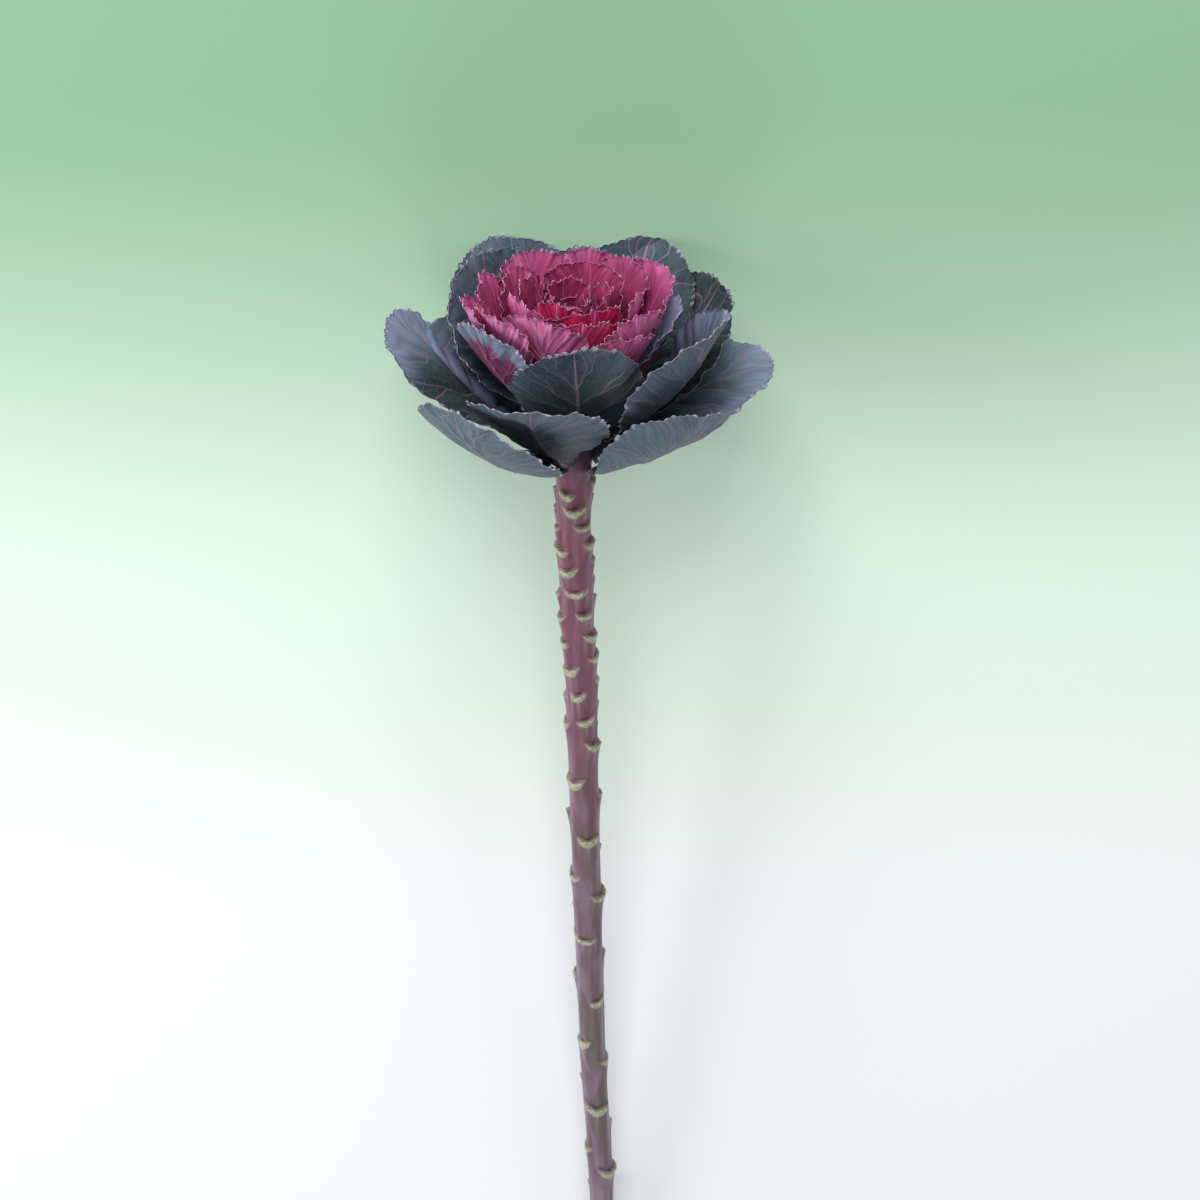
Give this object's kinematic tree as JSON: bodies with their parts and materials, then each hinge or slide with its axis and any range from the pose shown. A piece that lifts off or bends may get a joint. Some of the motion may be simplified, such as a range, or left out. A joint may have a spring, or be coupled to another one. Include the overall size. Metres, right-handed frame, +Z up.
{
  "type": "ornamental kale, cut stem",
  "caption": "Cut ornamental kale lying on its side: a long bare scarred stem, blue-green outer leaves and a rose-like magenta heart.",
  "frame": {"origin": "bottom centre of the lying plant's box: z = 0 is the surface it lies on", "axes": "+Y along the stem from the cut end to the head, +X to the right of the head seen from its cut end with the plant lying, +Z up"},
  "size_m": [0.1648, 0.6008, 0.1393],
  "materials": {
    "stem": "waxy bark of a cabbage stalk, mauve over green; wood stands in for it",
    "magenta_leaf": "thin waxy leaf, satin, magenta to rose; leather stands in for leaf tissue",
    "green_leaf": "thin waxy leaf, satin, blue green with a violet bloom; leather stands in for leaf tissue"
  },
  "bodies": {
    "root": {"stem": "stem", "heart": "magenta_leaf", "leaf_front": "green_leaf", "leaf_back": "green_leaf", "leaf_left_back": "green_leaf", "leaf_right_upper": "green_leaf", "leaf_left_upper": "green_leaf", "leaf_back_right": "green_leaf", "leaf_back_left": "green_leaf", "leaf_right_back": "green_leaf", "leaf_left": "green_leaf", "leaf_right": "green_leaf", "leaf_front_left": "green_leaf", "leaf_low_left": "green_leaf", "leaf_low_right": "green_leaf"}
  },
  "joints": []
}
